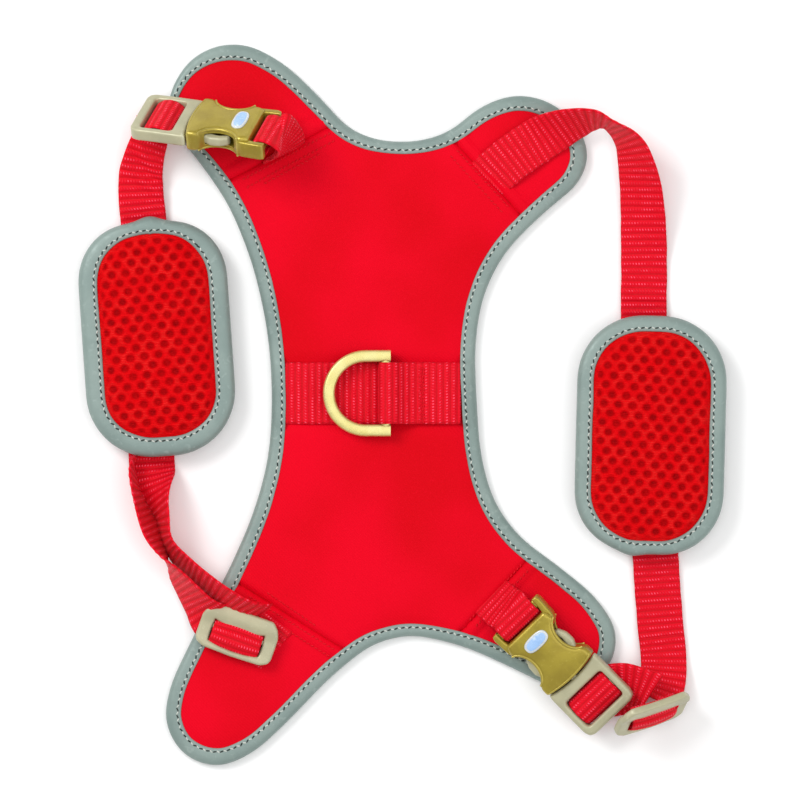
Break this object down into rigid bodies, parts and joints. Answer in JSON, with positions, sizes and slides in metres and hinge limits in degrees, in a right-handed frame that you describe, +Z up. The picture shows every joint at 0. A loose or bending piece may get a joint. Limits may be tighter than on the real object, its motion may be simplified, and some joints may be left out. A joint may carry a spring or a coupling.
{
  "type": "dog harness",
  "caption": "No pull dog harness: padded back panel with leash ring and two adjustable side straps, each with a side release buckle, a slider and a sliding mesh pad.",
  "frame": {"origin": "underside of the panel at the waist, midway between its ends", "axes": "+Z up out of the panel's face, +Y towards the end with the wider lobes, X across the waist"},
  "size_m": [0.2684, 0.2991, 0.0412],
  "materials": {
    "face_cloth": "smooth woven",
    "lining": "woven",
    "foam": "foam",
    "binding": "reflective tape",
    "webbing": "ribbed weave",
    "mesh_cloth": "air mesh",
    "ring_metal": "satin",
    "socket_plastic": "metallic",
    "plug_plastic": "satin",
    "badge": "plain"
  },
  "bodies": {
    "panel": {"panel_lining": "lining", "panel_foam": "foam", "face_centre": "face_cloth", "face_upper_left": "face_cloth", "face_upper_right": "face_cloth", "face_lower_right": "face_cloth", "face_lower_left": "face_cloth", "panel_binding": "binding", "cross_strap": "webbing", "d_ring_keeper": "webbing"},
    "leash_ring": {"d_ring": "ring_metal"},
    "left_loop": {"left_tether": "webbing", "left_buckle_socket": "socket_plastic", "left_buckle_badge": "badge", "left_strap_anchor": "webbing", "left_strap_lower": "webbing", "left_strap_return": "webbing"},
    "left_strap": {"left_buckle_plug": "plug_plastic", "left_strap_fold": "webbing", "left_strap_upper": "webbing"},
    "right_loop": {"right_tether": "webbing", "right_buckle_socket": "socket_plastic", "right_buckle_badge": "badge", "right_strap_anchor": "webbing"},
    "right_strap": {"right_buckle_plug": "plug_plastic", "right_strap_fold": "webbing", "right_strap_upper": "webbing", "right_strap_link": "webbing"},
    "left_front_arm": {"left_prong_front": "plug_plastic"},
    "left_rear_arm": {"left_prong_rear": "plug_plastic"},
    "left_slide_lock": {"left_slider": "plug_plastic", "left_slider_wrap": "webbing"},
    "left_pad": {"left_pad_backing": "lining", "left_pad_foam": "foam", "left_pad_face": "mesh_cloth", "left_pad_binding": "binding", "left_pad_sleeve": "binding"},
    "right_front_arm": {"right_prong_front": "plug_plastic"},
    "right_rear_arm": {"right_prong_rear": "plug_plastic"},
    "right_slide_lock": {"right_slider": "plug_plastic", "right_slider_wrap": "webbing"},
    "right_pad": {"right_pad_backing": "lining", "right_pad_foam": "foam", "right_pad_face": "mesh_cloth", "right_pad_binding": "binding", "right_pad_sleeve": "binding"}
  },
  "joints": [
    {"name": "ring_flip", "type": "hinge", "parent": "panel", "child": "leash_ring", "pos_m": [-0.0046, 0.0053, 0.00953], "axis": [0, 1, 0], "range_deg": [0, 160]},
    {"name": "left_loop_swing", "type": "hinge", "parent": "panel", "child": "left_loop", "pos_m": [-0.037, 0, 0.0052], "axis": [0, 1, 0], "range_deg": [0, 75]},
    {"name": "left_buckle_release", "type": "slide", "parent": "left_loop", "child": "left_strap", "axis": [-0.9519, 0.145, -0.27], "range_m": [0, 0.03], "deforming": ["left_prong_front", "left_prong_rear"]},
    {"name": "left_front_squeeze", "type": "hinge", "parent": "left_strap", "child": "left_front_arm", "pos_m": [-0.08862, 0.11285, 0.02478], "axis": [-0.0561, 0.7836, 0.6187], "range_deg": [0, 11], "stiffness_Nm_per_rad": 0.6},
    {"name": "left_rear_squeeze", "type": "hinge", "parent": "left_strap", "child": "left_rear_arm", "pos_m": [-0.08501, 0.1201, 0.01592], "axis": [0.0561, -0.7836, -0.6187], "range_deg": [0, 11], "stiffness_Nm_per_rad": 0.6},
    {"name": "left_pad_slide", "type": "slide", "parent": "left_strap", "child": "left_pad", "axis": [-0.0338, 0.9994, 0], "range_m": [0, 0.01]},
    {"name": "right_loop_swing", "type": "hinge", "parent": "panel", "child": "right_loop", "pos_m": [0.031, 0, 0.0052], "axis": [0, -1, 0], "range_deg": [0, 75]},
    {"name": "right_buckle_release", "type": "slide", "parent": "right_loop", "child": "right_strap", "axis": [0.7001, -0.7141, 0], "range_m": [0, 0.03], "deforming": ["right_prong_front", "right_prong_rear"]},
    {"name": "right_front_squeeze", "type": "hinge", "parent": "right_strap", "child": "right_front_arm", "pos_m": [0.07759, -0.10849, 0.01446], "axis": [-0.15, -0.147, 0.9777], "range_deg": [0, 11], "stiffness_Nm_per_rad": 0.6},
    {"name": "right_rear_squeeze", "type": "hinge", "parent": "right_strap", "child": "right_rear_arm", "pos_m": [0.06921, -0.1167, 0.01194], "axis": [0.15, 0.147, -0.9777], "range_deg": [0, 11], "stiffness_Nm_per_rad": 0.6},
    {"name": "right_pad_slide", "type": "slide", "parent": "right_strap", "child": "right_pad", "axis": [-0.0483, 0.9988, 0], "range_m": [-0.02, 0.018]},
    {"name": "left_slider_adjust", "type": "slide", "parent": "left_loop", "child": "left_slide_lock", "axis": [-0.333, -0.9429, 0], "range_m": [0, 0.008]},
    {"name": "right_slider_adjust", "type": "slide", "parent": "right_strap", "child": "right_slide_lock", "axis": [0.2055, 0.5644, 0.7995], "range_m": [0, 0.006]}
  ],
  "couplings": [
    {"joint": "left_rear_squeeze", "follows": "left_front_squeeze", "ratio": 1},
    {"joint": "right_rear_squeeze", "follows": "right_front_squeeze", "ratio": 1}
  ]
}
